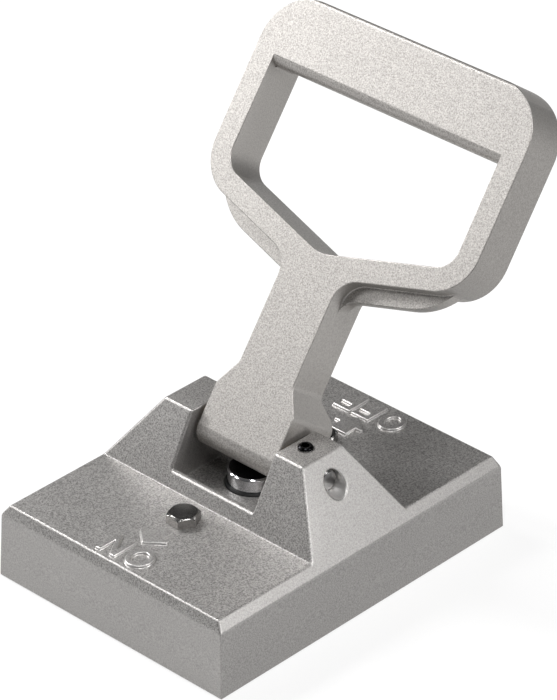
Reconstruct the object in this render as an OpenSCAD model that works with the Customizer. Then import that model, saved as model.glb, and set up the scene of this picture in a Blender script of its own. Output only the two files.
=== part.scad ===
// Plate magnet with a tilting handle, a release plunger and a sandwich of
// magnets and steel poles in its underside. Millimetres, Z up.
// The origin is the middle of the holding face. X runs along the pivot pin,
// +Y is the OFF end and -Y is the ON end.

/* [Base casting] */
// Width across the bottom
base_w = 100; // [96:1:112]
// Length along the bottom
base_l = 132.8; // [128:0.2:150]
// Height of the upright sides
side_h = 23.5; // [22.5:0.5:26]
// Draft angle of the upright sides
draft_angle = 2.1; // [0.5:0.1:3]
// Height of the sloping band between the sides and the deck
band_h = 3.6; // [2:0.2:5]
// How far the band on the two ends leans in
end_band_in = 1.6; // [0.6:0.2:3]
// Lean of the band on the long sides and of the ears above it, from upright
side_lean = 35; // [30:0.5:37]

/* [Ears and pocket] */
// Height of the ears above the deck
ear_h = 22.9; // [20:0.1:26]
// Length of the ears where they meet the deck
ear_foot_l = 44; // [42:0.5:50]
// Length of the flat tops of the ears
ear_top_l = 18.6; // [14:0.2:22]
// Gap between the ears at the pocket floor
ear_gap = 36.1; // [36.1:0.1:38]
// Draft angle of the inner faces of the ears
ear_draft = 0.7; // [0.2:0.1:1.5]
// Length of the pocket between its two lips
pocket_l = 34.4; // [32:0.2:36]
// Height of the lips above the pocket floor
lip_h = 4.8; // [3.5:0.1:5]

/* [Pivot] */
// Height of the pivot above the pocket floor
pivot_rise = 14.8; // [14:0.1:16]
// Diameter of the pivot pin
pin_d = 8; // [7:0.5:8.5]
// Length of the pivot pin
pin_l = 66.6; // [58:0.2:66.8]
// Chamfer on the ends of the pin
pin_chamfer = 0.8; // [0.4:0.1:1.2]
// Diametral play of the pin in the ears
pin_play = 0.2; // [0.1:0.05:0.4]
// Diametral play of the bushes on the pin
bush_play = 0.1; // [0.04:0.02:0.18]
// Wall of the bushes
bush_wall = 1; // [0.8:0.1:1.2]
// Length of each bush under its flange
bush_l = 12; // [8:1:14]
// Thickness of the flanges of the bushes
flange_t = 0.85; // [0.6:0.05:0.9]
// How far the flanges of the bushes stand out around their sleeves
flange_rim = 1; // [0.8:0.1:1.5]

/* [Set screw] */
// Thread diameter of the set screw that locks the pin
set_screw_d = 5; // [4:1:6]
// Distance of the set screw from the middle of the base
set_screw_x = 23.2; // [22.5:0.1:26]
// Width across the flats of its socket
set_screw_socket = 2.5; // [2:0.5:3]
// Depth of its socket
set_screw_socket_h = 1.8; // [1:0.1:2]
// How far it stands out of the top of the ear
set_screw_proud = 1; // [0.2:0.1:1.5]
// Chamfer at the mouth of its hole
set_screw_mouth = 0.2; // [0.1:0.05:0.5]

/* [Handle ring] */
// Width of the ring
handle_w = 114.6; // [106:0.2:124]
// Distance from the pivot to the top of the grip
handle_reach = 138.2; // [132:0.2:150]
// Thickness of the handle from front to back
handle_t = 16.8; // [16:0.2:18]
// Height of the grip bar
grip_h = 25; // [22:0.5:28]
// Width of the upright arms of the ring
side_arm_w = 8.3; // [7:0.1:10]
// Width of the sloping arms of the ring
lower_arm_w = 7.9; // [7:0.1:9]
// Rise of the sloping arms
arm_rise = 15.3; // [12:0.1:18]
// Distance from the pivot to the lowest point of the opening
opening_foot = 64.2; // [60:0.2:68]
// Radius of the top corners of the ring
top_corner_r = 18; // [14:0.5:20]
// Radius of the lower corners of the ring
low_corner_r = 16; // [12:0.5:18]
// Radius of the top corners of the opening
opening_top_r = 1; // [0.5:0.5:2]
// Radius of the side corners of the opening
opening_side_r = 8; // [5:0.5:10]
// Radius at the lowest point of the opening
opening_foot_r = 15; // [8:1:18]
// Rounding of the long edges of the grip bar towards the palm
grip_round_r = 1.6; // [0.8:0.2:3]
// Rounding of the long edges of the grip bar towards the fingers
finger_round_r = 3.6; // [2:0.2:5]

/* [Handle neck and web] */
// Width of the neck
neck_w = 23.6; // [20:0.2:26]
// Radius between the neck and the sloping arms
crotch_r = 9; // [6:0.5:10]
// Thickness of the web in the middle of the handle's thickness
web_t = 5; // [4:0.2:7]
// How far the web stands out under the sloping arms
web_drop = 5.7; // [4:0.1:7]
// How far the web stays inside the outer faces of the ring
web_inset = 2.3; // [1:0.1:4]
// Radius of the lower corners of the web
web_corner_r = 26; // [20:1:30]
// Radius between the web and the neck
web_crotch_r = 6; // [4:0.5:7]

/* [Handle foot and cam] */
// Width of the foot
foot_w = 34; // [32:0.1:34.2]
// Distance from the pivot to the shoulders of the foot
shoulder_s = 13; // [11:0.5:15]
// Distance from the pivot to the bottom of the neck's straight sides
neck_s = 22; // [20:0.5:25]
// Rounding of the shoulders
shoulder_r = 4; // [2:0.5:5]
// Distance from the pivot to the bottom of the foot
foot_drop = 7.5; // [7.2:0.1:8]
// Radius under the front and the back of the foot
foot_round_r = 6; // [4:0.2:6.5]
// Width of the cam in the middle of the foot
cam_w = 19; // [16:0.5:21.5]
// How far the cam moves the plunger for each radian of tilt
cam_rate = 2.7; // [2.6:0.1:2.9]
// Distance from the pivot to the back of the heel
heel_y = 14.4; // [13:0.1:14.6]
// Distance from the pivot to the bottom of the heel
heel_s = 1; // [0.5:0.5:3]
// Distance from the pivot to the top of the heel's back
heel_top_s = 15.5; // [14.5:0.1:16]
// Distance from the pivot to where the heel runs out into the neck
heel_end_s = 20.5; // [19:0.1:21]
// Rounding of the heel
heel_r = 3; // [1:0.5:4]
// Largest tilt of the handle
tilt_end = 72; // [60:1:72]
// Tilt of the handle towards OFF, where 0 is upright
handle_tilt = 35.9; // [0:0.1:72]

/* [Plunger] */
// Diameter of the plunger's head
plunger_d = 17; // [16:0.2:17.6]
// Length of the plunger's head
plunger_head_l = 20; // [19:0.1:20.1]
// Diameter of the plunger's stem
stem_d = 10; // [8:0.5:10.5]
// Tilt of the handle at which the plunger's end is flush with the holding face
flush_tilt = 35.9; // [20:0.1:50]
// Chamfer round the plunger's head
plunger_chamfer = 0.6; // [0.3:0.1:1]
// Gap between the cam and the plunger
cam_gap = 0.05; // [0.02:0.01:0.2]
// Diametral play of the plunger in its guide and seal
plunger_play = 0.1; // [0.06:0.02:0.18]

/* [Plunger guide, seal and spring] */
// Diameter of the seal
seal_d = 18.8; // [18.2:0.1:19.4]
// Depth of the seal's seat under the pocket floor
seal_seat_h = 3; // [2:0.2:4]
// How far the seal's lip stands above the pocket floor
seal_lip_h = 0.6; // [0.3:0.1:1]
// Diameter of the guide bush
guide_d = 21; // [20:0.2:22]
// Height of the ledge in the middle pole that carries the guide
guide_z = 10; // [9:0.5:11]
// Diameter of the spring's chamber in the middle pole
chamber_d = 16; // [15.2:0.2:16.6]
// Height of the ledge that carries the spring
spring_z = 5; // [4:0.5:6]
// Wire diameter of the spring
wire_d = 1.2; // [0.8:0.1:1.3]
// Outer diameter of the spring
spring_d = 14.4; // [13.6:0.1:14.8]
// Number of turns of the spring
spring_turns = 3; // [2:0.5:4]
// Gap at each end of the spring
spring_end_gap = 0.05; // [0.02:0.01:0.2]

/* [Magnet sandwich] */
// Wall of the casting round the magnet cavity, at the bottom
cavity_wall = 8.5; // [7:0.5:10]
// Height of the magnet cavity
cavity_h = 20; // [19:0.5:21]
// Corner radius of the cavity
cavity_r = 4; // [2:0.5:6]
// Resin between the sandwich and the cavity's walls
resin_t = 1.5; // [1:0.1:2.5]
// How far the resin lies above the holding face
resin_sunk = 0.2; // [0.1:0.1:0.5]
// Thickness of the backing plate above the sandwich
backing_t = 4; // [3:0.5:5]
// Width of the middle pole
middle_pole_w = 24; // [23:1:28]
// Width of each side pole
side_pole_w = 10; // [8:0.5:12]
// Height of the magnets' lower faces above the holding face
magnet_z = 2; // [1:0.5:3]
// Gap between neighbouring magnets in a row, where a tie screw runs
magnet_gap = 6; // [5.6:0.2:8]
// Diameter of the tie screws
tie_d = 5; // [4:0.5:5]
// Length of the tie screws
tie_l = 35; // [30:1:36]
// Diameter of the tie screws' countersunk heads
tie_head_d = 9; // [8:0.5:9.5]
// Height of the tie screws above the holding face
tie_z = 8; // [7:0.5:9]
// Diametral play of screws and bolts in their holes
screw_play = 0.1; // [0.06:0.02:0.3]

/* [Hex bolts] */
// Thread diameter of the two hex bolts
bolt_d = 6; // [5:1:6]
// Distance between the two hex bolts
bolt_spacing = 64; // [60:1:70]
// Width across the flats of their heads
bolt_flats = 10; // [8:0.5:10]
// Height of their heads
bolt_head_h = 3.7; // [3:0.1:4.5]
// Length of their shanks
bolt_l = 20; // [18:1:22]
// Turn of their heads about their own axes
bolt_turn = -4; // [-30:1:30]
// Height of the crowned edge of their heads
bolt_crown = 0.8; // [0.6:0.1:1.2]

/* [Hidden] */
$fn = 96;

// Allowance by which a cut runs past the face it opens
past = 1;

// Heights of the casting
deck_z = side_h + band_h;
ear_top_z = deck_z + ear_h;
lip_z = deck_z + lip_h;
pivot_z = deck_z + pivot_rise;

// Half widths and half lengths of the casting at its edges
wall_in = side_h * tan(draft_angle);
side_x = base_w / 2 - wall_in;
end_y = base_l / 2 - wall_in;
ear_top_x = side_x - (ear_top_z - side_h) * tan(side_lean);
deck_y = end_y - end_band_in;
gap_top_x = ear_gap / 2 + ear_h * tan(ear_draft);

// Cavity and sandwich, in half widths and half lengths
cavity_x = base_w / 2 - cavity_wall;
cavity_y = base_l / 2 - cavity_wall;
pack_x = cavity_x - resin_t;
pack_y = cavity_y - resin_t;
pole_h = cavity_h - backing_t;
magnet_in_x = middle_pole_w / 2;
magnet_out_x = pack_x - side_pole_w;
magnet_l = (2 * pack_y - 2 * magnet_gap) / 3;
magnet_pitch = magnet_l + magnet_gap;
tie_y = magnet_pitch / 2;

// Handle, measured along it from the pivot
opening_x = handle_w / 2 - side_arm_w;
opening_top_s = handle_reach - grip_h;
arm_foot = opening_foot - lower_arm_w / cos(arm_rise);
web_foot = arm_foot - web_drop / cos(arm_rise);
bush_r = pin_d / 2 + bush_play / 2 + bush_wall;
flange_r = bush_r + flange_rim;
bush_seat_gap = 0.01;

// Cam: the foot's distance from the pivot grows evenly with the tilt
function cam_lift(a) = foot_drop + cam_rate * a * PI / 180;
cam_end = 93;
cam_step = 3;

// The heel ends just inside the plane that lies on the plunger at the largest tilt
heel_room = 0.07;
heel_back_s =
    (heel_y * sin(tilt_end) - cam_lift(tilt_end) + heel_room) / cos(tilt_end);

// Plunger at the present tilt, and its ends
plunger_top_z = pivot_z - cam_lift(handle_tilt) - cam_gap;
shoulder_z = plunger_top_z - plunger_head_l;
stem_bottom_z = cam_lift(flush_tilt) - cam_lift(handle_tilt);
guide_top_z = deck_z - seal_seat_h;
spring_r = (spring_d - wire_d) / 2;

// Bolts and screws
bolt_bottom_z = deck_z - bolt_l;
tap_room = 1;
set_screw_l = ear_top_z + set_screw_proud - pivot_z - pin_d / 2;

// Outlines with rounded corners, listed anticlockwise
function unit(v) = v / norm(v);
function half_angle(p, v, n) = acos(unit(p - v) * unit(n - v)) / 2;
function corner_start(p, v, n, r) = v + unit(p - v) * r / tan(half_angle(p, v, n));
function corner_end(p, v, n, r) = v + unit(n - v) * r / tan(half_angle(p, v, n));
function corner_middle(p, v, n, r) =
    v + unit(unit(p - v) + unit(n - v)) * r / sin(half_angle(p, v, n));
function mirrored(pts) = [for (i = [len(pts) - 1:-1:0]) [-pts[i].x, pts[i].y]];
function reversed(list) = [for (i = [len(list) - 1:-1:0]) list[i]];

// The sliver between a corner's arc and its two straight sides
module corner_arc(p, v, n, r) {
    intersection() {
        translate(corner_middle(p, v, n, r)) circle(r = r);
        polygon([corner_start(p, v, n, r), v, corner_end(p, v, n, r)]);
    }
}

module rounded_outline(pts, radii) {
    count = len(pts);
    function before(i) = pts[(i + count - 1) % count];
    function after(i) = pts[(i + 1) % count];
    function is_round(i) = radii[i] > 0;
    function is_convex(i) = cross(pts[i] - before(i), after(i) - pts[i]) > 0;
    difference() {
        union() {
            polygon([
                for (i = [0:count - 1])
                    each is_round(i)
                        ? [corner_start(before(i), pts[i], after(i), radii[i]),
                           corner_end(before(i), pts[i], after(i), radii[i])]
                        : [pts[i]]
            ]);
            for (i = [0:count - 1])
                if (is_round(i) && is_convex(i))
                    corner_arc(before(i), pts[i], after(i), radii[i]);
        }
        for (i = [0:count - 1])
            if (is_round(i) && !is_convex(i))
                corner_arc(before(i), pts[i], after(i), radii[i]);
    }
}

// Extrusions of a drawing that stands upright, centred on the origin
module along_y(l) {
    rotate([90, 0, 0]) linear_extrude(l, center = true) children();
}

module along_x(l) {
    rotate([90, 0, 90]) linear_extrude(l, center = true) children();
}

module hole(d, z_low, z_high) {
    translate([0, 0, z_low]) cylinder(d = d, h = z_high - z_low);
}

// Base casting
module casting_front_view() {
    polygon([
        [-base_w / 2, 0], [base_w / 2, 0], [side_x, side_h],
        [ear_top_x, ear_top_z], [-ear_top_x, ear_top_z], [-side_x, side_h]
    ]);
}

module casting_side_view() {
    right = [
        [base_l / 2, 0], [end_y, side_h], [deck_y, deck_z],
        [ear_foot_l / 2, deck_z], [ear_top_l / 2, ear_top_z]
    ];
    polygon(concat(right, mirrored(right)));
}

module pocket_front_view() {
    polygon([
        [-ear_gap / 2, deck_z], [ear_gap / 2, deck_z],
        [gap_top_x, ear_top_z], [gap_top_x, ear_top_z + past],
        [-gap_top_x, ear_top_z + past], [-gap_top_x, ear_top_z]
    ]);
}

module pocket() {
    along_y(pocket_l) pocket_front_view();
    intersection() {
        along_y(base_l) pocket_front_view();
        translate([-base_w / 2, -base_l / 2, lip_z]) cube([base_w, base_l, ear_top_z]);
    }
}

module block_outline(x, y, r) {
    rounded_outline([[x, -y], [x, y], [-x, y], [-x, -y]], [r, r, r, r]);
}

module plunger_bores() {
    hole(seal_d, guide_top_z, deck_z + past);
    hole(guide_d, cavity_h - past, guide_top_z);
}

module at_bolts() {
    for (y = [-1, 1]) translate([0, y * bolt_spacing / 2, 0]) children();
}

module set_screw_hole() {
    translate([set_screw_x, 0, 0]) {
        hole(set_screw_d + screw_play, pivot_z, ear_top_z + past);
        translate([0, 0, ear_top_z - set_screw_mouth])
            cylinder(
                h = set_screw_mouth + past,
                d1 = set_screw_d + screw_play,
                d2 = set_screw_d + screw_play + 2 * (set_screw_mouth + past)
            );
    }
}

module housing() {
    color([0.70, 0.69, 0.67])
    difference() {
        intersection() {
            along_y(base_l) casting_front_view();
            along_x(base_w) casting_side_view();
        }
        pocket();
        translate([0, 0, -past])
            linear_extrude(cavity_h + past) block_outline(cavity_x, cavity_y, cavity_r);
        plunger_bores();
        at_bolts() hole(bolt_d + 3 * screw_play, cavity_h - past, deck_z + past);
        translate([0, 0, pivot_z]) rotate([0, 90, 0])
            cylinder(d = pin_d + pin_play, h = base_w, center = true);
        set_screw_hole();
    }
}

// Handle, drawn upright with the pivot at the origin
module handle_outline() {
    right = [
        [foot_w / 2, -foot_drop], [foot_w / 2, shoulder_s], [neck_w / 2, neck_s],
        [neck_w / 2, arm_foot + neck_w / 2 * tan(arm_rise)],
        [handle_w / 2, arm_foot + handle_w / 2 * tan(arm_rise)],
        [handle_w / 2, handle_reach]
    ];
    radii = [0, shoulder_r, shoulder_r, crotch_r, low_corner_r, top_corner_r];
    rounded_outline(concat(right, mirrored(right)), concat(radii, reversed(radii)));
}

module web_outline() {
    web_x = handle_w / 2 - web_inset;
    right = [
        [neck_w / 2, neck_s], [neck_w / 2, web_foot + neck_w / 2 * tan(arm_rise)],
        [web_x, web_foot + web_x * tan(arm_rise)], [web_x, opening_top_s + grip_h / 2]
    ];
    radii = [0, web_crotch_r, web_corner_r, 0];
    rounded_outline(concat(right, mirrored(right)), concat(radii, reversed(radii)));
}

module opening_outline() {
    right = [
        [opening_x, opening_foot + opening_x * tan(arm_rise)],
        [opening_x, opening_top_s]
    ];
    radii = [opening_side_r, opening_top_r];
    rounded_outline(
        concat([[0, opening_foot]], right, mirrored(right)),
        concat([opening_foot_r], radii, reversed(radii))
    );
}

// The handle seen from its side: rounded under the foot and over the grip, and
// with a heel behind the foot
module handle_side_view() {
    rounded_outline(
        [[handle_t / 2, -foot_drop], [handle_t / 2, handle_reach],
         [-handle_t / 2, handle_reach], [-handle_t / 2, -foot_drop]],
        [foot_round_r, grip_round_r, grip_round_r, foot_round_r]
    );
    rounded_outline(
        [[0, heel_s], [cam_lift(tilt_end), heel_s], [heel_y, heel_back_s],
         [heel_y, heel_top_s], [handle_t / 2, heel_end_s], [0, heel_end_s]],
        [0, 0, 0, heel_r, 0, 0]
    );
}

// What is cut away to round an edge of the opening under the grip bar
module finger_edge(side) {
    edge = side * handle_t / 2;
    centre = side * (handle_t / 2 - finger_round_r);
    along_x(2 * opening_x)
    difference() {
        polygon([
            [centre, opening_top_s - past], [edge + side * past, opening_top_s - past],
            [edge + side * past, opening_top_s + finger_round_r],
            [centre, opening_top_s + finger_round_r]
        ]);
        translate([centre, opening_top_s + finger_round_r]) circle(r = finger_round_r);
    }
}

// The cam's face is the involute of a circle whose radius is the cam's rate,
// so the plunger moves in proportion to the tilt
function cam_point(a) =
    cam_lift(a) * [sin(a), -cos(a)] + cam_rate * [cos(a), sin(a)];

module cam_side_view() {
    polygon(concat(
        [[0, -foot_drop]],
        [for (a = [0:cam_step:cam_end]) cam_point(a)],
        [[handle_t / 2, heel_back_s], [0, heel_back_s]]
    ));
}

module handle_upright() {
    difference() {
        union() {
            intersection() {
                union() {
                    along_y(2 * handle_t + 2 * past) handle_outline();
                    along_y(web_t) web_outline();
                }
                along_x(handle_w) handle_side_view();
            }
            along_x(cam_w) cam_side_view();
        }
        along_y(handle_t + 2 * past) opening_outline();
        finger_edge(-1);
        finger_edge(1);
        rotate([0, 90, 0]) cylinder(d = pin_d + 2 * pin_play, h = foot_w, center = true);
        for (side = [-1, 1])
            translate([side * (foot_w - bush_l) / 2, 0, 0]) rotate([0, 90, 0])
                cylinder(r = bush_r + bush_seat_gap, h = bush_l, center = true);
    }
}

module at_handle() {
    translate([0, 0, pivot_z]) rotate([-handle_tilt, 0, 0]) children();
}

module handle() {
    color([0.74, 0.73, 0.71]) at_handle() handle_upright();
}

// A flanged sleeve whose flange lies against the side of the foot
module handle_bush(side) {
    color([0.72, 0.53, 0.28])
    at_handle() translate([side * foot_w / 2, 0, 0]) rotate([0, side * 90, 0])
    difference() {
        union() {
            hole(2 * flange_r, 0, flange_t);
            hole(2 * bush_r, -bush_l, flange_t);
        }
        hole(pin_d + bush_play, -bush_l - past, flange_t + past);
    }
}

module handle_bush_left() {
    handle_bush(-1);
}

module handle_bush_right() {
    handle_bush(1);
}

module pivot_pin() {
    r = pin_d / 2;
    color([0.55, 0.55, 0.56])
    translate([0, 0, pivot_z]) rotate([0, 90, 0])
    rotate_extrude()
        polygon([
            [0, -pin_l / 2], [r - pin_chamfer, -pin_l / 2], [r, pin_chamfer - pin_l / 2],
            [r, pin_l / 2 - pin_chamfer], [r - pin_chamfer, pin_l / 2], [0, pin_l / 2]
        ]);
}

module pin_set_screw() {
    top_z = ear_top_z + set_screw_proud;
    chamfer = set_screw_d / 10;
    r = set_screw_d / 2;
    color([0.10, 0.10, 0.11])
    translate([set_screw_x, 0, top_z])
    difference() {
        rotate_extrude()
            polygon([
                [0, -set_screw_l], [r - chamfer, -set_screw_l],
                [r, chamfer - set_screw_l], [r, -chamfer], [r - chamfer, 0], [0, 0]
            ]);
        hex_prism(set_screw_socket, -set_screw_socket_h, past);
    }
}

module hex_prism(flats, z_low, z_high) {
    translate([0, 0, z_low]) cylinder(d = flats / cos(30), h = z_high - z_low, $fn = 6);
}

// Plunger, its guide, its seal and its return spring
module release_plunger() {
    head_r = plunger_d / 2;
    stem_r = stem_d / 2;
    c = plunger_chamfer;
    color([0.80, 0.80, 0.82])
    rotate_extrude()
        polygon([
            [0, stem_bottom_z], [stem_r - c, stem_bottom_z], [stem_r, stem_bottom_z + c],
            [stem_r, shoulder_z], [head_r - c, shoulder_z], [head_r, shoulder_z + c],
            [head_r, plunger_top_z - c], [head_r - c, plunger_top_z], [0, plunger_top_z]
        ]);
}

module plunger_seal() {
    in_r = (plunger_d + plunger_play) / 2;
    out_r = seal_d / 2;
    lip_r = (in_r + out_r) / 2;
    color([0.05, 0.05, 0.05])
    rotate_extrude()
        polygon([
            [in_r, guide_top_z], [out_r, guide_top_z], [out_r, deck_z],
            [lip_r, deck_z + seal_lip_h], [in_r, deck_z + seal_lip_h]
        ]);
}

module plunger_guide() {
    color([0.72, 0.53, 0.28])
    difference() {
        hole(guide_d - screw_play, guide_z, guide_top_z);
        hole(plunger_d + plunger_play, guide_z - past, guide_top_z + past);
    }
}

spring_steps = 20;
wire_sides = 8;
spring_low_z = spring_z + spring_end_gap + wire_d / 2;
spring_high_z = shoulder_z - spring_end_gap - wire_d / 2;

// A point on the wire's skin: i steps along the helix, k steps round the wire
function wire_point(i, k) =
    let (
        last = spring_turns * spring_steps,
        around = 360 * i / spring_steps,
        r = spring_r + wire_d / 2 * cos(360 * k / wire_sides),
        z = spring_low_z + (spring_high_z - spring_low_z) * i / last
    )
    [r * cos(around), r * sin(around), z + wire_d / 2 * sin(360 * k / wire_sides)];

module plunger_spring() {
    last = spring_turns * spring_steps;
    ends = [
        [for (k = [0:wire_sides - 1]) k],
        [for (k = [wire_sides - 1:-1:0]) last * wire_sides + k]
    ];
    sides = [
        for (i = [0:last - 1], k = [0:wire_sides - 1])
            [
                i * wire_sides + k, (i + 1) * wire_sides + k,
                (i + 1) * wire_sides + (k + 1) % wire_sides,
                i * wire_sides + (k + 1) % wire_sides
            ]
    ];
    color([0.60, 0.61, 0.63])
    polyhedron(
        points = [for (i = [0:last], k = [0:wire_sides - 1]) wire_point(i, k)],
        faces = concat(ends, sides)
    );
}

// Bolts from the deck into the middle pole
module hex_bolt() {
    corner_r = bolt_flats / cos(30) / 2;
    intersection() {
        rotate([0, 0, bolt_turn]) hex_prism(bolt_flats, 0, bolt_head_h);
        rotate_extrude()
            polygon([
                [0, 0], [corner_r, 0], [corner_r, bolt_head_h - bolt_crown],
                [corner_r - bolt_crown / tan(30), bolt_head_h], [0, bolt_head_h]
            ]);
    }
    hole(bolt_d, -bolt_l, bolt_head_h / 2);
}

module hex_bolts() {
    color([0.30, 0.29, 0.28])
    at_bolts() translate([0, 0, deck_z]) hex_bolt();
}

// Sandwich of magnets and poles
module block(x_low, x_high, y, z_low, z_high) {
    translate([x_low, -y, z_low]) cube([x_high - x_low, 2 * y, z_high - z_low]);
}

module backing_plate() {
    color([0.62, 0.63, 0.65])
    difference() {
        block(-pack_x, pack_x, pack_y, pole_h, cavity_h);
        hole(guide_d, pole_h - past, cavity_h + past);
        at_bolts() hole(bolt_d + 3 * screw_play, pole_h - past, cavity_h + past);
    }
}

module at_ties() {
    for (side = [-1, 1], y = [-tie_y, tie_y])
        translate([side * pack_x, y, tie_z]) rotate([0, -side * 90, 0]) children();
}

module tie_screw(play) {
    head_h = (tie_head_d - tie_d) / 2;
    hole(tie_d + play, 0, tie_l + play);
    cylinder(h = head_h, d1 = tie_head_d + play, d2 = tie_d + play);
}

module middle_pole() {
    color([0.45, 0.46, 0.48])
    difference() {
        block(-magnet_in_x, magnet_in_x, pack_y, 0, pole_h);
        hole(stem_d + plunger_play, -past, spring_z + past);
        hole(chamber_d, spring_z, guide_z + past);
        hole(guide_d, guide_z, pole_h + past);
        at_bolts() hole(bolt_d + screw_play, bolt_bottom_z - tap_room, pole_h + past);
        at_ties() tie_screw(screw_play);
    }
}

module side_pole(side) {
    middle = side * (pack_x - side_pole_w / 2);
    color([0.45, 0.46, 0.48])
    difference() {
        block(middle - side_pole_w / 2, middle + side_pole_w / 2, pack_y, 0, pole_h);
        at_ties() tie_screw(screw_play);
    }
}

module side_pole_left() {
    side_pole(-1);
}

module side_pole_right() {
    side_pole(1);
}

module magnet(side, place) {
    middle = side * (magnet_in_x + magnet_out_x) / 2;
    half = (magnet_out_x - magnet_in_x) / 2;
    color([0.16, 0.16, 0.17])
    translate([0, place * magnet_pitch, 0])
        block(middle - half, middle + half, magnet_l / 2, magnet_z, pole_h);
}

module magnet_left_on() {
    magnet(-1, -1);
}

module magnet_left_middle() {
    magnet(-1, 0);
}

module magnet_left_off() {
    magnet(-1, 1);
}

module magnet_right_on() {
    magnet(1, -1);
}

module magnet_right_middle() {
    magnet(1, 0);
}

module magnet_right_off() {
    magnet(1, 1);
}

module tie_screws() {
    color([0.70, 0.70, 0.72]) at_ties() tie_screw(0);
}

// Resin round the sandwich and over the lower faces of the magnets
module potting_resin() {
    color([0.12, 0.12, 0.13])
    difference() {
        translate([0, 0, resin_sunk])
            linear_extrude(cavity_h - resin_sunk) block_outline(cavity_x, cavity_y, cavity_r);
        block(-pack_x, pack_x, pack_y, magnet_z, cavity_h + past);
        block(-magnet_in_x, magnet_in_x, pack_y, 0, magnet_z + past);
        for (side = [-1, 1])
            translate([side * (pack_x - side_pole_w / 2), 0, 0])
                block(-side_pole_w / 2, side_pole_w / 2, pack_y, 0, magnet_z + past);
    }
}

housing();
handle();
handle_bush_left();
handle_bush_right();
pivot_pin();
pin_set_screw();
release_plunger();
plunger_seal();
plunger_guide();
plunger_spring();
hex_bolts();
backing_plate();
middle_pole();
side_pole_left();
side_pole_right();
magnet_left_on();
magnet_left_middle();
magnet_left_off();
magnet_right_on();
magnet_right_middle();
magnet_right_off();
tie_screws();
potting_resin();
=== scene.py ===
import math

import bmesh
import bpy
from mathutils import Matrix, Vector


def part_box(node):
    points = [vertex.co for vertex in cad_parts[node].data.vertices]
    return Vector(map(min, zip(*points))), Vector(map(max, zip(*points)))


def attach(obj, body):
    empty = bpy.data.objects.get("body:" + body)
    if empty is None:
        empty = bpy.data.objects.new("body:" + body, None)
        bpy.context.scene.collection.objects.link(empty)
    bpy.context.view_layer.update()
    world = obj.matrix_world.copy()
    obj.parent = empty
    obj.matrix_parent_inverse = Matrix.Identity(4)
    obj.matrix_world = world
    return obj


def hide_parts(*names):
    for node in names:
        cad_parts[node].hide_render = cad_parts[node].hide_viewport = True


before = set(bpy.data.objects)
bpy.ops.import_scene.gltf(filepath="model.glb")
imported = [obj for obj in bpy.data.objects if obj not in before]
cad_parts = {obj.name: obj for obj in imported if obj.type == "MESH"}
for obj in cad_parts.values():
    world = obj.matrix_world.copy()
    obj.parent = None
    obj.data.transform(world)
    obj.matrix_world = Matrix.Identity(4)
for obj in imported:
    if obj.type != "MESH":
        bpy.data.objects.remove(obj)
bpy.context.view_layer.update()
MM = 0.001


# The camera stands where the photograph's did: in front of the ON end, to its
# right and above it, with a long lens. Its place was solved from the edges of
# the base, so it is given by angles, a distance and the point it looks at.
frame_px = 557
focal_px = 4308.4
azimuth, elevation, roll = (math.radians(angle) for angle in (43.49, 31.58, -0.07))
camera_distance = 1.3788
look_from_middle = (0.0137, 0.0225)
middle_height = 0.05
principal_offset_px = (-17.2, 0.3)

back = Vector((math.sin(azimuth) * math.cos(elevation),
               -math.cos(azimuth) * math.cos(elevation), math.sin(elevation)))
level_right = Vector((math.cos(azimuth), math.sin(azimuth), 0))
level_up = back.cross(level_right)
right = level_right * math.cos(roll) + level_up * math.sin(roll)
up = level_up * math.cos(roll) - level_right * math.sin(roll)
lens = bpy.data.cameras.new("photograph")
lens.sensor_fit = "HORIZONTAL"
lens.lens = lens.sensor_width * focal_px / frame_px
lens.shift_x = principal_offset_px[0] / frame_px
lens.shift_y = principal_offset_px[1] / frame_px
lens.clip_start = 0.05
camera = bpy.data.objects.new("camera", lens)
place = (Vector((0, 0, middle_height)) + right * look_from_middle[0]
         + up * look_from_middle[1] + back * camera_distance)
camera.matrix_world = Matrix.Translation(place) @ Matrix((right, up, back)).transposed().to_4x4()
bpy.context.scene.collection.objects.link(camera)
bpy.context.scene.camera = camera


# The base is one die casting in an aluminium alloy, with a fine silver grain
# and soft edges from bead blasting. Its upright faces came out of the die
# smoother, and the long outer sides get painted shade: a darker colour that
# stands for the dimmer light falling on them.
def nodes_of(name):
    """A new material, its shader, and two helpers: one adds a node, one joins two sockets."""
    material = bpy.data.materials.new(name)
    material.use_nodes = True
    tree = material.node_tree
    shader = tree.nodes["Principled BSDF"]

    def add(kind, **settings):
        node = tree.nodes.new(kind)
        for key, value in settings.items():
            if key in node.inputs:
                node.inputs[key].default_value = value
            else:
                setattr(node, key, value)
        return node

    return material, shader, add, tree.links.new


def maths(tree, operation, *values):
    """The result of a maths node; each value is a number or the socket that it is joined to."""
    node = tree.nodes.new("ShaderNodeMath")
    node.operation = operation
    for socket, value in zip(node.inputs, values):
        if isinstance(value, bpy.types.NodeSocket):
            tree.links.new(value, socket)
        else:
            socket.default_value = value
    return node.outputs[0]


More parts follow.
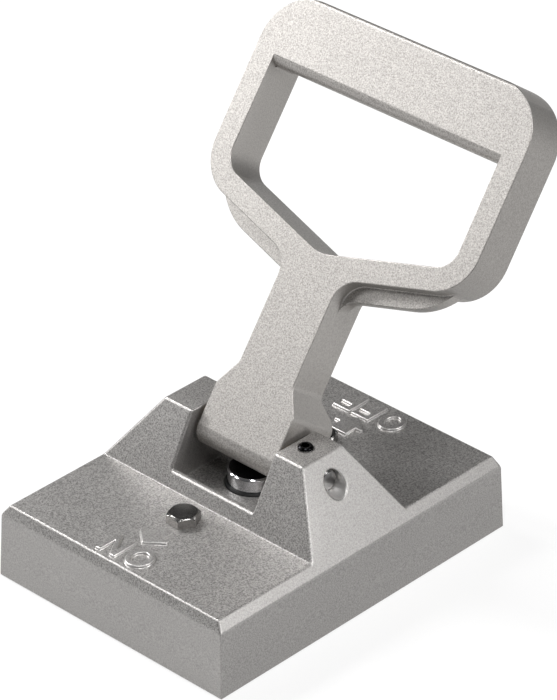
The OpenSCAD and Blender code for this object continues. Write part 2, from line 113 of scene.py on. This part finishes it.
def cast_finish(name, light, dark, grain_mm=0.48, bump=0.55, roughness=0.46, metallic=0.85):
    """Bead-blasted casting: pitted speckles of two greys, quieter where the mesh says so, and darker by
    painted shade where it says so.
    """
    material, shader, add, join = nodes_of(name)
    tree = material.node_tree
    place = add("ShaderNodeTexCoord")
    grain = add("ShaderNodeTexNoise", Scale=1 / (grain_mm * MM), Detail=2.0, Roughness=0.65)
    clouds = add("ShaderNodeTexNoise", Scale=55.0, Detail=3.0, Roughness=0.5)
    for noise in (grain, clouds):
        join(place.outputs["Object"], noise.inputs["Vector"])
    quiet = add("ShaderNodeAttribute", attribute_name="quiet")
    loudness = maths(tree, "MULTIPLY_ADD", quiet.outputs["Fac"], -0.6, 1.0)
    # Painted shade: a face's stored value pulls its colour darker.
    shade = add("ShaderNodeAttribute", attribute_name="shade")
    level = maths(tree, "MULTIPLY_ADD", shade.outputs["Fac"], -0.1, 0.5)
    centred = maths(tree, "SUBTRACT", grain.outputs["Fac"], 0.5)
    speckle = maths(tree, "MULTIPLY_ADD", centred, loudness, level)
    spread = add("ShaderNodeMapRange")
    spread.inputs["From Min"].default_value = 0.34
    spread.inputs["From Max"].default_value = 0.66
    join(speckle, spread.inputs["Value"])
    colour = add("ShaderNodeMix", data_type="RGBA")
    colour.inputs["A"].default_value = (*dark, 1)
    colour.inputs["B"].default_value = (*light, 1)
    join(spread.outputs["Result"], colour.inputs["Factor"])
    join(colour.outputs["Result"], shader.inputs["Base Color"])
    wear = add("ShaderNodeMapRange")
    wear.inputs["To Min"].default_value = roughness - 0.05
    wear.inputs["To Max"].default_value = roughness + 0.05
    join(clouds.outputs["Fac"], wear.inputs["Value"])
    join(wear.outputs["Result"], shader.inputs["Roughness"])
    pits = add("ShaderNodeBump", Distance=0.05 * MM)
    join(maths(tree, "MULTIPLY", loudness, bump), pits.inputs["Strength"])
    join(grain.outputs["Fac"], pits.inputs["Height"])
    join(pits.outputs["Normal"], shader.inputs["Normal"])
    shader.inputs["Metallic"].default_value = metallic
    return material


def rounded_copy(node, name, material, radius_of):
    """A copy of a CAD node with each crease rounded by the radius that radius_of gives, or sharp at 0."""
    least_crease = math.radians(20)
    mesh = bmesh.new()
    mesh.from_mesh(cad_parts[node].data)
    bmesh.ops.remove_doubles(mesh, verts=mesh.verts, dist=1e-6)
    bmesh.ops.dissolve_limit(mesh, angle_limit=0.002, verts=mesh.verts, edges=mesh.edges)
    is_crease = [edge.calc_face_angle(0) > least_crease for edge in mesh.edges]
    radii = [radius_of(edge) if creased else 0 for edge, creased in zip(mesh.edges, is_crease)]
    widest = max(radii)
    weight = mesh.edges.layers.float.new("bevel_weight_edge")
    for edge, radius, creased in zip(mesh.edges, radii, is_crease):
        edge[weight] = radius / widest
        edge.smooth = radius > 0 or not creased
    for face in mesh.faces:
        face.smooth = True
        face.material_index = 0
    data = bpy.data.meshes.new(name)
    mesh.to_mesh(data)
    mesh.free()
    data.materials.append(material)
    piece = link(bpy.data.objects.new(name, data))
    bevel = piece.modifiers.new("edges", "BEVEL")
    bevel.limit_method = "WEIGHT"
    bevel.width = widest
    bevel.segments = 3
    bevel.use_clamp_overlap = False
    bevel.miter_outer = "MITER_ARC"
    piece.modifiers.new("normals", "WEIGHTED_NORMAL").keep_sharp = True
    return as_mesh(piece)


def link(piece):
    bpy.context.scene.collection.objects.link(piece)
    return piece


def as_mesh(piece):
    """The piece with its modifiers applied, as a plain mesh of its own."""
    bpy.context.view_layer.update()
    evaluated = piece.evaluated_get(bpy.context.evaluated_depsgraph_get())
    data = bpy.data.meshes.new_from_object(evaluated)
    name = piece.name
    bpy.data.objects.remove(piece)
    return link(bpy.data.objects.new(name, data))


def second_finish(piece, material, has_it):
    """Gives a second material to the faces that has_it picks."""
    piece.data.materials.append(material)
    for polygon in piece.data.polygons:
        if has_it(polygon):
            polygon.material_index = 1


def store(piece, name, value_of):
    """Stores a value on each face of a piece, for its material to read."""
    values = piece.data.attributes.new(name, "FLOAT", "FACE")
    for polygon in piece.data.polygons:
        values.data[polygon.index].value = value_of(polygon)


edge_radius, fillet_radius = 0.35 * MM, 0.5 * MM
soft_radius, ear_front_radius = 0.65 * MM, 0.9 * MM
band_foot, ear_edge_rise = 20 * MM, 10 * MM
outer_side_x = 40 * MM
pivot_height, bore_reach = 41.9 * MM, 6 * MM
base_metal = cast_finish("bead_blasted_casting", (0.57, 0.553, 0.538), (0.225, 0.218, 0.212), bump=0.75)
bore_metal = cast_finish("reamed_bore", (0.86, 0.845, 0.83), (0.78, 0.765, 0.75), bump=0.1,
                         roughness=0.38)


def base_edge(edge):
    """Softer from the sloping band up, and softest down the front of each ear."""
    if not edge.is_convex:
        return fillet_radius
    a, b = (vertex.co for vertex in edge.verts)
    if min(a.z, b.z) < band_foot:
        return edge_radius
    is_ear_front = abs(a.z - b.z) > ear_edge_rise and (a + b).y < 0
    return ear_front_radius if is_ear_front else soft_radius


def base_quiet(face):
    """1 on the upright faces and the ears' slopes, where the speckles are faint."""
    return float(abs(face.normal.x) > 0.5 or abs(face.normal.z) < 0.3)


def base_painted_shade(face):
    """How much painted shade darkens a face: half on the long outer sides, and nothing elsewhere."""
    return 0.5 if abs(face.normal.z) < 0.2 and abs(face.center.x) > outer_side_x else 0.0


def is_bore(face):
    """Whether a face lies round the pin, in the bores of the ears."""
    off_axis = math.hypot(face.center.y, face.center.z - pivot_height)
    return off_axis < bore_reach and abs(face.normal.x) < 0.3


base_casting = rounded_copy("housing", "base_casting", base_metal, base_edge)
store(base_casting, "quiet", base_quiet)
# Painted shade on the long outer sides of the base.
store(base_casting, "shade", base_painted_shade)
second_finish(base_casting, bore_metal, is_bore)
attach(base_casting, "base")
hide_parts("housing")


# The words ON and OFF and their arrows stand up from the deck as part of the
# same casting. Both words are read from the OFF end. Their rounded edges and
# walls get a painted highlight, a lighter colour with a smoother polish, and
# their feet run into the deck in a small fillet.
bolt_head_height = 3.7 * MM
deck_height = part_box("hex_bolts")[1].z - bolt_head_height
letter_height, stroke, plan_radius = 10.4 * MM, 2.1 * MM, 0.35 * MM
diagonal_drop, short_bar = 1.75 * stroke, 0.7 * MM
nearly_level = 0.95
# A painted highlight: a lighter colour for the marks' sloping faces, with less roughness.
painted_highlight_metal = cast_finish("rubbed_letters", (0.70, 0.685, 0.67), (0.46, 0.45, 0.44), bump=0.35,
                           roughness=0.33)
mark_profile = [(x * MM, z * MM) for x, z in (
    (-0.30, -0.05), (-0.28, 0.0), (-0.12, 0.04), (-0.04, 0.14), (0.0, 0.30), (0.0, 0.52),
    (0.04, 0.68), (0.15, 0.81), (0.30, 0.88), (0.45, 0.90))]


def oval(middle, half_width, half_height, count=48):
    turns = (2 * math.pi * i / count for i in range(count))
    return [(middle + half_width * math.cos(t), half_height * math.sin(t)) for t in turns]


def softened(outline, steps=3):
    """The outline with a small arc in place of each corner."""
    points = []
    count = len(outline)
    for i in range(count):
        before, corner, after = (Vector(outline[(i + k) % count]) for k in (-1, 0, 1))
        start = corner + (before - corner).normalized() * plan_radius
        end = corner + (after - corner).normalized() * plan_radius
        for k in range(steps + 1):
            t = k / steps
            points.append((1 - t) ** 2 * start + 2 * t * (1 - t) * corner + t ** 2 * end)
    return [tuple(point) for point in points]


def letter_o(left, width):
    middle = left + width / 2
    half_width, half_height = width / 2, letter_height / 2
    return [oval(middle, half_width, half_height),
            oval(middle, half_width - stroke, half_height - stroke)[::-1]]


def letter_n(left, width):
    top, bottom, far = letter_height / 2, -letter_height / 2, left + width
    return [softened([
        (left, bottom), (left + stroke, bottom), (left + stroke, top - diagonal_drop),
        (far - stroke, bottom), (far, bottom), (far, top), (far - stroke, top),
        (far - stroke, bottom + diagonal_drop), (left + stroke, top), (left, top)])]


def letter_f(left, width):
    top, bottom, far = letter_height / 2, -letter_height / 2, left + width
    bar, bar_end = 1.5 * MM, far - short_bar
    return [softened([
        (left, bottom), (left + stroke, bottom), (left + stroke, bar - stroke),
        (bar_end, bar - stroke), (bar_end, bar), (left + stroke, bar),
        (left + stroke, top - stroke), (far, top - stroke), (far, top), (left, top)])]


def arrow():
    shaft, wing = 3.45 * MM, 5.8 * MM
    tail, neck, barb, tip = 0.0, 4.7 * MM, 5.9 * MM, 10.7 * MM
    return [softened([(-shaft, tail), (shaft, tail), (shaft, neck), (wing, neck), (wing, barb),
                      (0, tip), (-wing, barb), (-wing, neck), (-shaft, neck)])]


def moved_in(outline, distance):
    """The outline with every side moved to its left by distance; the sides meet again in mitres."""
    points = []
    count = len(outline)
    for i in range(count):
        before, corner, after = (Vector(outline[(i + k) % count]) for k in (-1, 0, 1))
        left_in = (corner - before).normalized().orthogonal()
        left_out = (after - corner).normalized().orthogonal()
        points.append(corner + (left_in + left_out) * distance / (1 + left_in.dot(left_out)))
    return points


def raised_mark(name, outlines, middle, turn):
    """Outlines raised from the deck by mark_profile, turned about the vertical and set at middle."""
    mesh = bmesh.new()
    rim = []
    for outline in outlines:
        below = None
        for inset, height in mark_profile:
            ring = [mesh.verts.new((*point, height)) for point in moved_in(outline, inset)]
            for i in range(len(ring) if below else 0):
                face = mesh.faces.new((below[i - 1], below[i], ring[i], ring[i - 1]))
                face.smooth = True
            below = ring
        rim += [mesh.edges.get((ring[i - 1], ring[i])) for i in range(len(ring))]
    top = bmesh.ops.triangle_fill(mesh, edges=rim, use_beauty=True, use_dissolve=False)
    for face in top["geom"]:
        if isinstance(face, bmesh.types.BMFace):
            face.smooth = True
            face.normal_update()
            if face.normal.z < 0:
                face.normal_flip()
    place = Matrix.Translation((*middle, deck_height)) @ Matrix.Rotation(turn, 4, "Z")
    bmesh.ops.transform(mesh, matrix=place, verts=mesh.verts)
    data = bpy.data.meshes.new(name)
    mesh.to_mesh(data)
    mesh.free()
    data.materials.append(base_metal)
    mark = link(bpy.data.objects.new(name, data))
    # Painted highlight: the sloping faces of each mark take the lighter metal.
    second_finish(mark, painted_highlight_metal, lambda face: face.normal.z < nearly_level)
    store(mark, "quiet", lambda face: 0.6)
    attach(mark, "base")


on_word = letter_o(-9.75 * MM, 9.2 * MM) + letter_n(1.45 * MM, 8.3 * MM)
off_word = (letter_o(-13.25 * MM, 8.8 * MM) + letter_f(-2.35 * MM, 7.4 * MM)
            + letter_f(5.9 * MM, 7.4 * MM))
raised_mark("word_on", on_word, (0.45 * MM, -57 * MM), math.pi)
raised_mark("word_off", off_word, (0.75 * MM, 56.05 * MM), math.pi)
raised_mark("arrow_on", arrow(), (0, -39.9 * MM), math.pi)
raised_mark("arrow_off", arrow(), (0, 39.9 * MM), 0)


# One node tree sets a fastener down at each point of a grid, where the real
# object has the same one more than once: two hex bolts and four tie screws.
# The fasteners of the right column stand half a turn round.
def fastener_grid():
    """A node tree with named inputs: the fastener, the grid's size and counts, and the finish."""
    tree = bpy.data.node_groups.new("fastener_grid", "GeometryNodeTree")
    sockets = {"Fastener": "Object", "Size X": "Float", "Size Y": "Float",
               "Columns": "Int", "Rows": "Int", "Finish": "Material"}
    for name, kind in sockets.items():
        tree.interface.new_socket(name, in_out="INPUT", socket_type="NodeSocket" + kind)
    tree.interface.new_socket("Fasteners", in_out="OUTPUT", socket_type="NodeSocketGeometry")
    given, result = tree.nodes.new("NodeGroupInput"), tree.nodes.new("NodeGroupOutput")
    grid = tree.nodes.new("GeometryNodeMeshGrid")
    fastener = tree.nodes.new("GeometryNodeObjectInfo")
    place = tree.nodes.new("GeometryNodeInputPosition")
    part = tree.nodes.new("ShaderNodeSeparateXYZ")
    turn = tree.nodes.new("ShaderNodeCombineXYZ")
    copies = tree.nodes.new("GeometryNodeInstanceOnPoints")
    real = tree.nodes.new("GeometryNodeRealizeInstances")
    finish = tree.nodes.new("GeometryNodeSetMaterial")
    join = tree.links.new
    join(given.outputs["Size X"], grid.inputs["Size X"])
    join(given.outputs["Size Y"], grid.inputs["Size Y"])
    join(given.outputs["Columns"], grid.inputs["Vertices X"])
    join(given.outputs["Rows"], grid.inputs["Vertices Y"])
    join(given.outputs["Fastener"], fastener.inputs["Object"])
    join(place.outputs["Position"], part.inputs["Vector"])
    is_right = maths(tree, "GREATER_THAN", part.outputs["X"], MM)
    join(maths(tree, "MULTIPLY", is_right, math.pi), turn.inputs["Z"])
    join(grid.outputs["Mesh"], copies.inputs["Points"])
    join(fastener.outputs["Geometry"], copies.inputs["Instance"])
    join(turn.outputs["Vector"], copies.inputs["Rotation"])
    join(copies.outputs["Instances"], real.inputs["Geometry"])
    join(real.outputs["Geometry"], finish.inputs["Geometry"])
    join(given.outputs["Finish"], finish.inputs["Material"])
    join(finish.outputs["Geometry"], result.inputs["Fasteners"])
    return tree


grid_tree = fastener_grid()
grid_input = {item.name: item.identifier for item in grid_tree.interface.items_tree}


def set_down(name, fastener, size, counts, finish):
    """Copies of a fastener on a grid round the origin, as one plain mesh; the fastener itself goes."""
    holder = link(bpy.data.objects.new(name, bpy.data.meshes.new(name)))
    grid = holder.modifiers.new("grid", "NODES")
    grid.node_group = grid_tree
    grid[grid_input["Fastener"]] = fastener
    grid[grid_input["Size X"]], grid[grid_input["Size Y"]] = size
    grid[grid_input["Columns"]], grid[grid_input["Rows"]] = counts
    grid[grid_input["Finish"]] = finish
    copies = as_mesh(holder)
    bpy.data.objects.remove(fastener)
    return copies


def first_fastener(fasteners, is_spare, place):
    """Deletes the spare fasteners of a CAD node, and moves the one left from place to the origin."""
    mesh = bmesh.new()
    mesh.from_mesh(fasteners.data)
    spare = [vertex for vertex in mesh.verts if is_spare(vertex.co)]
    bmesh.ops.delete(mesh, geom=spare, context="VERTS")
    bmesh.ops.translate(mesh, verts=mesh.verts, vec=(-place[0], -place[1], 0))
    mesh.to_mesh(fasteners.data)
    mesh.free()
    return fasteners


# The magnet sandwich fills the underside: ground mild steel poles, sintered
# magnet blocks between them, a rolled backing plate behind, four countersunk
# tie screws through all of it, and black resin poured round it.
def turned_steel(name, colour, roughness=0.32, axis=2, streak=900.0, bump=0.08):
    """Machined metal: fine streaks along one axis and faint clouds in the polish."""
    material, shader, add, join = nodes_of(name)
    place = add("ShaderNodeTexCoord")
    stretch = add("ShaderNodeMapping")
    scales = [streak, streak, streak]
    scales[axis] = streak / 40
    stretch.inputs["Scale"].default_value = scales
    join(place.outputs["Object"], stretch.inputs["Vector"])
    lines = add("ShaderNodeTexNoise", Scale=1.0, Detail=3.0)
    join(stretch.outputs["Vector"], lines.inputs["Vector"])
    clouds = add("ShaderNodeTexNoise", Scale=140.0, Detail=3.0)
    join(place.outputs["Object"], clouds.inputs["Vector"])
    tint = add("ShaderNodeMix", data_type="RGBA")
    tint.inputs["A"].default_value = (*[c * 0.8 for c in colour], 1)
    tint.inputs["B"].default_value = (*colour, 1)
    join(lines.outputs["Fac"], tint.inputs["Factor"])
    join(tint.outputs["Result"], shader.inputs["Base Color"])
    polish = add("ShaderNodeMapRange")
    polish.inputs["To Min"].default_value = roughness - 0.08
    polish.inputs["To Max"].default_value = roughness + 0.08
    join(clouds.outputs["Fac"], polish.inputs["Value"])
    join(polish.outputs["Result"], shader.inputs["Roughness"])
    grooves = add("ShaderNodeBump", Strength=bump, Distance=0.02 * MM)
    join(lines.outputs["Fac"], grooves.inputs["Height"])
    join(grooves.outputs["Normal"], shader.inputs["Normal"])
    shader.inputs["Metallic"].default_value = 1.0
    return material


def finish_node(node, material):
    """Gives a CAD node its finish and leaves its shape alone."""
    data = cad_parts[node].data
    data.materials.clear()
    data.materials.append(material)


ground_steel = turned_steel("ground_mild_steel", (0.42, 0.43, 0.45), axis=1)
rolled_steel = turned_steel("rolled_steel", (0.52, 0.52, 0.54), roughness=0.4, axis=1)
sintered = turned_steel("sintered_magnet", (0.14, 0.14, 0.15), roughness=0.55, streak=2500.0)
resin = cast_finish("potting_resin", (0.05, 0.05, 0.055), (0.03, 0.03, 0.033), grain_mm=3.0,
                    bump=0.6, metallic=0.0)
for pole in ("middle_pole", "side_pole_left", "side_pole_right"):
    finish_node(pole, ground_steel)
finish_node("backing_plate", rolled_steel)
finish_node("potting_resin", resin)
for side in ("left", "right"):
    for spot in ("on", "middle", "off"):
        finish_node(f"magnet_{side}_{spot}", sintered)

tie_low, tie_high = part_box("tie_screws")
tie_head, tie_edge_radius = 9 * MM, 0.15 * MM
tie_spacing = (tie_high.x - tie_low.x, tie_high.y - tie_low.y - tie_head)
tie_screw = first_fastener(
    rounded_copy("tie_screws", "tie_screw", rolled_steel, lambda edge: tie_edge_radius),
    lambda point: point.x > 0 or point.y > 0, (-tie_spacing[0] / 2, -tie_spacing[1] / 2))
tie_screws = set_down("four_tie_screws", tie_screw, tie_spacing, (2, 2), rolled_steel)
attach(tie_screws, "base")
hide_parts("tie_screws")


# Two hex bolts hold the sandwich to the casting. Their heads are dark steel
# with a turned crown, and their edges are broken. The crown's near-black colour
# is a painted dark reflection.
def tinted_where(material, attribute, colour):
    """Gives a material another colour on the faces whose attribute is 1."""
    tree = material.node_tree
    base_colour = tree.nodes["Principled BSDF"].inputs["Base Color"]
    where = tree.nodes.new("ShaderNodeAttribute")
    where.attribute_name = attribute
    tint = tree.nodes.new("ShaderNodeMix")
    tint.data_type = "RGBA"
    tint.inputs["B"].default_value = (*colour, 1)
    tree.links.new(where.outputs["Fac"], tint.inputs["Factor"])
    tree.links.new(base_colour.links[0].from_socket, tint.inputs["A"])
    tree.links.new(tint.outputs["Result"], base_colour)


bolt_metal = turned_steel("black_bolt_steel", (0.36, 0.35, 0.34), roughness=0.2, streak=1500.0)
# Painted dark reflection: the crown faces take a near-black colour.
tinted_where(bolt_metal, "crown", (0.09, 0.088, 0.086))
bolt_spacing, bolt_edge_radius, crown_slope = 64 * MM, 0.16 * MM, 0.9
hex_bolt = first_fastener(
    rounded_copy("hex_bolts", "hex_bolt", bolt_metal, lambda edge: bolt_edge_radius),
    lambda point: point.y > 0, (0, -bolt_spacing / 2))
store(hex_bolt, "crown", lambda face: float(face.normal.z > crown_slope))
hex_bolts = set_down("two_hex_bolts", hex_bolt, (0, bolt_spacing), (1, 2), bolt_metal)
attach(hex_bolts, "base")
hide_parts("hex_bolts")


# The plunger is chromed and runs in a bronze guide. A black rubber ring wipes
# it at the floor of the pocket, and a wire spring under its shoulder lifts it.
chrome = turned_steel("polished_chrome", (0.78, 0.78, 0.80), roughness=0.12, streak=1200.0, bump=0.02)
# The flat top gets a near-black colour: a painted dark reflection in the chrome.
dark_reflection_chrome = turned_steel("rubbed_plunger_face", (0.10, 0.10, 0.11), roughness=0.16, axis=0)
bronze = turned_steel("turned_bronze", (0.55, 0.40, 0.20), roughness=0.35, axis=0)
spring_wire = turned_steel("spring_wire", (0.50, 0.51, 0.53), roughness=0.3)
rubber = cast_finish("black_rubber", (0.022, 0.022, 0.022), (0.012, 0.012, 0.012), grain_mm=0.3,
                     bump=0.2, metallic=0.0)
plunger_edge_radius = 0.2 * MM
plunger = rounded_copy("release_plunger", "chromed_plunger", chrome, lambda edge: plunger_edge_radius)
# Painted dark reflection: the flat top faces take the near-black colour.
second_finish(plunger, dark_reflection_chrome, lambda face: face.normal.z > nearly_level)
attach(plunger, "plunger")
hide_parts("release_plunger")
finish_node("plunger_seal", rubber)
finish_node("plunger_guide", bronze)
finish_node("plunger_spring", spring_wire)


# The handle is a second casting in the same alloy: a grip bar, a ring, a web
# half way through its thickness, a neck and a foot with the cam under it.
handle_metal = cast_finish("bead_blasted_handle", (0.535, 0.513, 0.49), (0.285, 0.272, 0.259))
photographed_tilt = math.radians(35.9)
ring_side_x = 50 * MM
upright = Matrix.Rotation(photographed_tilt, 4, "X") @ Matrix.Translation((0, 0, -pivot_height))


def handle_edge(edge):
    """The base's smaller radii, and none where edges crowd together and their rounds would cross."""
    # In millimetres, with the handle upright and its pivot at the origin.
    x, y, height = (upright @ ((edge.verts[0].co + edge.verts[1].co) / 2)) / MM
    x = abs(x)
    is_opening_corner = 40 < x < 50 and 108 < height < 119
    is_web_tip = x < 13.2 and abs(abs(y) - 2.5) < 0.1 and 48.5 < height < 52.5
    is_cam = x < 10 and height < 3.2
    if is_opening_corner or is_web_tip or is_cam:
        return 0
    return edge_radius if edge.is_convex else fillet_radius


def handle_quiet(face):
    """0 on the front and the back, where the speckles are plain, and 1 on the sides."""
    return float(abs(face.normal.y) <= 0.55 or abs(face.normal.x) >= 0.5)


def handle_painted_shade(face):
    """How much painted shade darkens a face: nearly all on the ring's outer sides, and nothing elsewhere.
    """
    return 0.9 if abs(face.normal.x) > 0.5 and abs(face.center.x) > ring_side_x else 0.0


handle_casting = rounded_copy("handle", "handle_casting", handle_metal, handle_edge)
store(handle_casting, "quiet", handle_quiet)
# Painted shade on the ring's outer sides.
store(handle_casting, "shade", handle_painted_shade)
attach(handle_casting, "handle")
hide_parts("handle")


# Two flanged bronze bushes in the foot turn on a ground steel pin, and a black
# socket screw in the right ear locks the pin.
finish_node("handle_bush_left", bronze)
finish_node("handle_bush_right", bronze)
# The pin's steel has a dark colour: painted shade and a painted dark reflection for its end, seen deep in
# the bore.
pin_steel_painted_dark = turned_steel("ground_pin_steel", (0.25, 0.247, 0.244), roughness=0.25, axis=0)
finish_node("pivot_pin", pin_steel_painted_dark)
black_steel = turned_steel("blackened_steel", (0.010, 0.010, 0.011), roughness=0.18)
screw_edge_radius = 0.1 * MM
set_screw = rounded_copy("pin_set_screw", "socket_set_screw", black_steel,
                         lambda edge: screw_edge_radius)
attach(set_screw, "base")
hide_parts("pin_set_screw")


# The stage is a pale floor under eight lamps in a dim room: the key lamp low on
# the left with another above it, one behind on the right, two over the camera's
# side and three weak ones. The floor glows, so the shadow on it stays light.
lamp_distance, lamp_width, aim_height = 1.2, 0.3, 0.06


def lamp(name, bearing, rise, power):
    """A square lamp that shines at the object, by its bearing from +X and its rise in degrees."""
    light = bpy.data.lights.new(name, "AREA")
    light.shape = "SQUARE"
    light.size = lamp_width
    light.energy = power
    bearing, rise = math.radians(bearing), math.radians(rise)
    towards = Vector((math.cos(rise) * math.cos(bearing), math.cos(rise) * math.sin(bearing),
                      math.sin(rise)))
    lamp_object = link(bpy.data.objects.new(name, light))
    lamp_object.location = Vector((0, 0, aim_height)) + towards * lamp_distance
    lamp_object.rotation_euler = towards.to_track_quat("Z", "Y").to_euler()


lamp("key_lamp", 199, 26, 7.9)
lamp("left_lamp", 180, 50, 6.9)
lamp("overhead_lamp", 0, 70, 3.6)
lamp("camera_side_lamp", -46, 60, 3.8)
lamp("back_right_lamp", 20, 30, 6.0)
lamp("front_left_lamp", 231, 35, 1.3)
lamp("back_lamp", 65, 45, 1.0)
lamp("back_left_lamp", 135, 30, 0.06)


def paler_when_seen(tree, strength, dim, seen, mirrored):
    """Sets a strength by the ray: seen by the camera or through glass, mirrored in metal, or dim."""
    ray = tree.nodes.new("ShaderNodeLightPath")
    is_seen = maths(tree, "MAXIMUM", ray.outputs["Is Camera Ray"], ray.outputs["Is Transmission Ray"])
    unseen = maths(tree, "MULTIPLY_ADD", ray.outputs["Is Glossy Ray"], mirrored - dim, dim)
    tree.links.new(maths(tree, "MULTIPLY_ADD", is_seen, seen - dim, unseen), strength)


world = bpy.data.worlds.new("studio")
bpy.context.scene.world = world
world.use_nodes = True
room = world.node_tree.nodes["Background"]
room.inputs["Color"].default_value = (1, 1, 1, 1)
paler_when_seen(world.node_tree, room.inputs["Strength"], dim=0.05, seen=0.93, mirrored=0.09)

floor_drop, reach = 0.2 * MM, 4.0
floor_mesh = bpy.data.meshes.new("floor")
corners = [(-reach, -reach), (reach, -reach), (reach, reach), (-reach, reach)]
floor_mesh.from_pydata([(x, y, -floor_drop) for x, y in corners], [], [(0, 1, 2, 3)])
floor_material, floor_shader = nodes_of("pale_floor")[:2]
floor_shader.inputs["Base Color"].default_value = (0.3, 0.3, 0.3, 1)
floor_shader.inputs["Roughness"].default_value = 0.9
floor_shader.inputs["Emission Color"].default_value = (1, 1, 1, 1)
paler_when_seen(floor_material.node_tree, floor_shader.inputs["Emission Strength"],
                dim=0.48, seen=0.68, mirrored=0.52)
floor_mesh.materials.append(floor_material)
floor = link(bpy.data.objects.new("floor", floor_mesh))

bpy.context.scene.view_settings.view_transform = "Standard"
